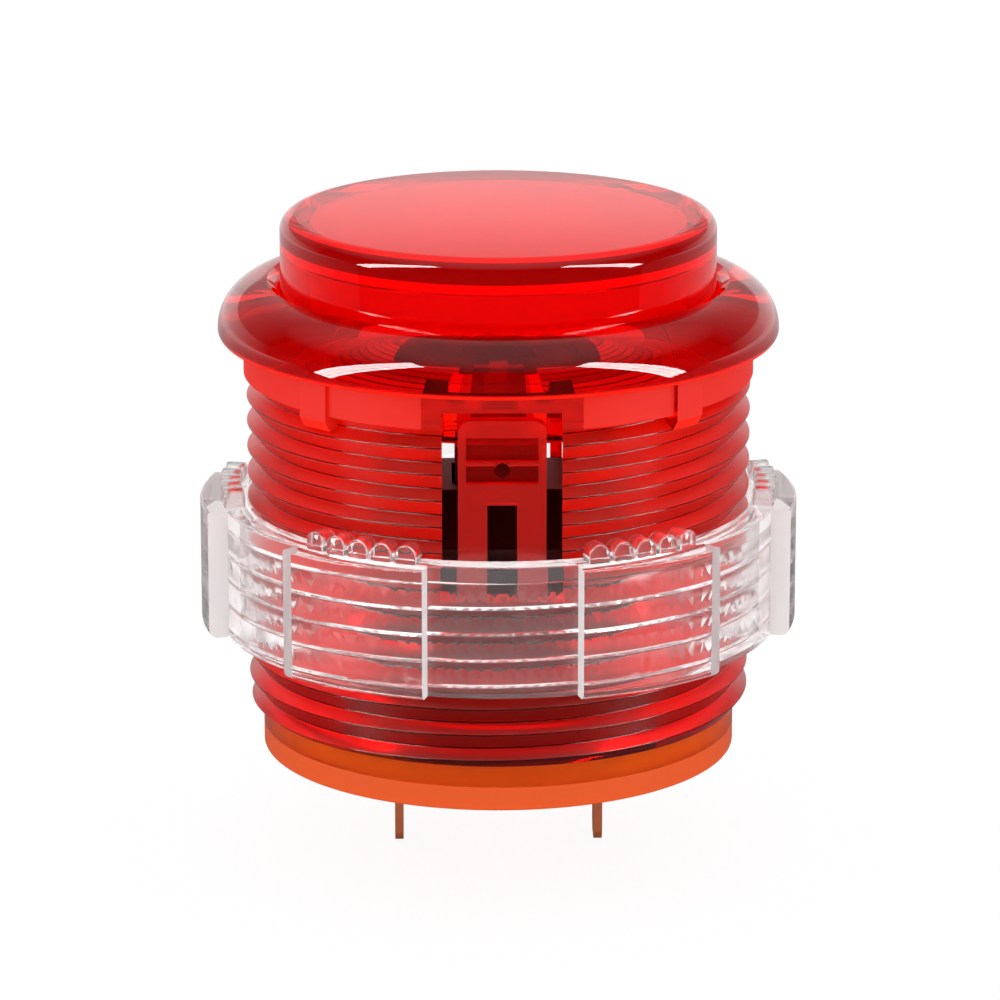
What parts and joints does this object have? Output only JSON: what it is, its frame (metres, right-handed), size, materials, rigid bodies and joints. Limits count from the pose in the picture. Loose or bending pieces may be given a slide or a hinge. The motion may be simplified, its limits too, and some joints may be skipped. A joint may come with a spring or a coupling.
{
  "type": "arcade push button",
  "caption": "Round screw-in push button with a sprung plunger, a threaded barrel with spring tabs, a toothed ring nut, a snap-in base and blade terminals.",
  "frame": {"origin": "on the button's axis in the panel plane, under the rim", "axes": "+Z along the axis out of the panel towards the player, -Y the front with one spring tab, +X to the right"},
  "size_m": [0.0344, 0.0334, 0.0375],
  "materials": {
    "red_plastic": "polished translucent red polycarbonate",
    "clear_plastic": "polished clear polycarbonate",
    "orange_plastic": "polished translucent orange polycarbonate",
    "black_plastic": "moulded black polyamide",
    "copper_alloy": "stamped copper alloy strip",
    "silver_contact": "silver contact button",
    "spring_steel": "drawn spring wire"
  },
  "bodies": {
    "housing": {"barrel": "red_plastic", "base_cap": "orange_plastic", "switch_case": "black_plastic", "switch_cover": "black_plastic", "left_terminal": "copper_alloy", "right_terminal": "copper_alloy", "left_fixed_contact": "silver_contact", "right_fixed_contact": "silver_contact", "return_spring": "spring_steel"},
    "plunger": {"plunger": "red_plastic", "push_bridge": "black_plastic", "switch_slider": "black_plastic", "bridge_contact": "copper_alloy", "left_bridge_point": "silver_contact", "right_bridge_point": "silver_contact", "contact_spring": "spring_steel"},
    "nut": {"mounting_nut": "clear_plastic"}
  },
  "joints": [
    {"name": "plunger_press", "type": "slide", "parent": "housing", "child": "plunger", "axis": [0, 0, -1], "range_m": [0, 0.003], "stiffness_N_per_m": 150, "springref_m": -0.004, "deforming": ["return_spring"]},
    {"name": "nut_travel", "type": "slide", "parent": "housing", "child": "nut", "axis": [0, 0, 1], "range_m": [-0.0046, 0.0052]}
  ]
}
